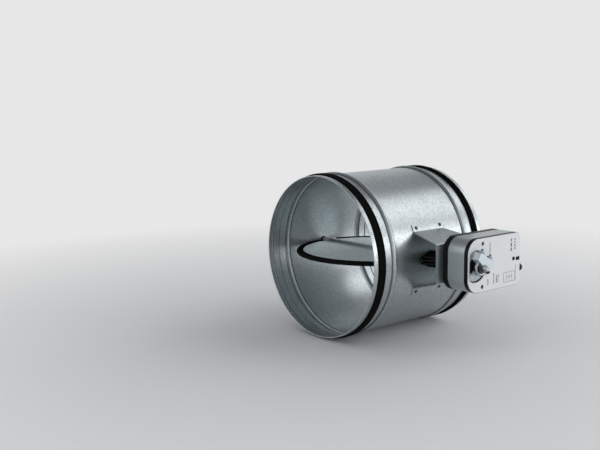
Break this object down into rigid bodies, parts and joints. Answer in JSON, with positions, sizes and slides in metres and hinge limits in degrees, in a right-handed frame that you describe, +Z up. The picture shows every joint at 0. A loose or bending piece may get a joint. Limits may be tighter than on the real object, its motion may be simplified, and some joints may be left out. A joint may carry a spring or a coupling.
{
  "type": "round balancing damper",
  "caption": "Round duct balancing damper with gasketed spigot ends, a pivoting blade sealed by a rubber rim, and a clamp-on electric actuator on a console.",
  "frame": {"origin": "where the duct's axis crosses the blade shaft's axis, in the middle of the duct", "axes": "+X along the blade shaft towards the actuator, +Y along the duct from its front spigot to its rear spigot, +Z up, square to the open blade"},
  "size_m": [0.3625, 0.2466, 0.2554],
  "materials": {
    "galvanised_steel": "galvanised, fine spangle",
    "blade_steel": "galvanised",
    "black_rubber": "matte",
    "bearing_plastic": "moulded",
    "black_plastic": "moulded",
    "grey_plastic": "metallic grey",
    "white_face": "satin film",
    "dial_grey": "satin",
    "bright_zinc": "bright zinc plate",
    "steel": "plain",
    "dark_steel": "blackened",
    "gear_plastic": "natural",
    "gear_brass": "machined",
    "magnet": "ground",
    "board_green": "lacquered",
    "aluminium": "satin"
  },
  "bodies": {
    "casing": {"duct_body": "galvanised_steel", "front_gasket": "black_rubber", "rear_gasket": "black_rubber", "console": "galvanised_steel", "console_rivets": "dark_steel", "drive_side_bearing": "bearing_plastic", "bearing_rivets": "dark_steel", "shaft_seal": "black_rubber", "far_side_bearing": "bearing_plastic", "rear_tray": "black_plastic", "housing_shell": "grey_plastic", "front_cover": "black_plastic", "face_plate": "white_face", "dial_ring": "dial_grey", "cover_screws": "steel", "gear_plate": "steel", "gear_axles": "steel", "motor_can": "steel", "circuit_board": "board_green", "board_standoffs": "gear_brass", "capacitor": "aluminium", "terminal_block": "black_plastic", "cable_gland": "black_plastic", "gland_nut": "black_plastic", "stop_pin": "dark_steel", "button_spring": "steel"},
    "blade": {"blade_upper_skin": "blade_steel", "blade_lower_skin": "blade_steel", "blade_gasket": "black_rubber", "blade_rivets": "steel", "blade_shaft": "steel", "output_hub": "dark_steel", "output_sector": "gear_plastic", "position_pointer": "black_plastic", "stop_lug": "bright_zinc", "clamp_saddle": "bright_zinc", "clamp_u_bolt": "bright_zinc", "clamp_nuts": "bright_zinc"},
    "third_gear": {"third_gear": "gear_plastic"},
    "second_gear": {"second_gear": "gear_plastic"},
    "motor_rotor": {"motor_pinion": "gear_brass", "motor_shaft": "steel", "rotor_magnet": "magnet"},
    "release_button": {"release_button": "black_plastic"}
  },
  "joints": [
    {"name": "blade_turn", "type": "hinge", "parent": "casing", "child": "blade", "pos_m": [0, 0, 0], "axis": [1, 0, 0], "range_deg": [0, 90]},
    {"name": "third_gear_turn", "type": "hinge", "parent": "casing", "child": "third_gear", "pos_m": [0.1743, 0.035, 0], "axis": [1, 0, 0], "range_deg": [-360, 0]},
    {"name": "second_gear_turn", "type": "hinge", "parent": "casing", "child": "second_gear", "pos_m": [0.18, 0.059, 0], "axis": [1, 0, 0], "range_deg": [0, 1080]},
    {"name": "motor_turn", "type": "hinge", "parent": "casing", "child": "motor_rotor", "pos_m": [0.1905, 0.07314, -0.01685], "axis": [1, 0, 0], "range_deg": [-2880, 0]},
    {"name": "button_press", "type": "slide", "parent": "casing", "child": "release_button", "axis": [-1, 0, 0], "range_m": [0, 0.0025], "stiffness_N_per_m": 300, "springref_m": -0.002, "deforming": ["button_spring"]}
  ],
  "couplings": [
    {"joint": "third_gear_turn", "follows": "blade_turn", "ratio": -4},
    {"joint": "second_gear_turn", "follows": "blade_turn", "ratio": 12},
    {"joint": "motor_turn", "follows": "blade_turn", "ratio": -32}
  ]
}
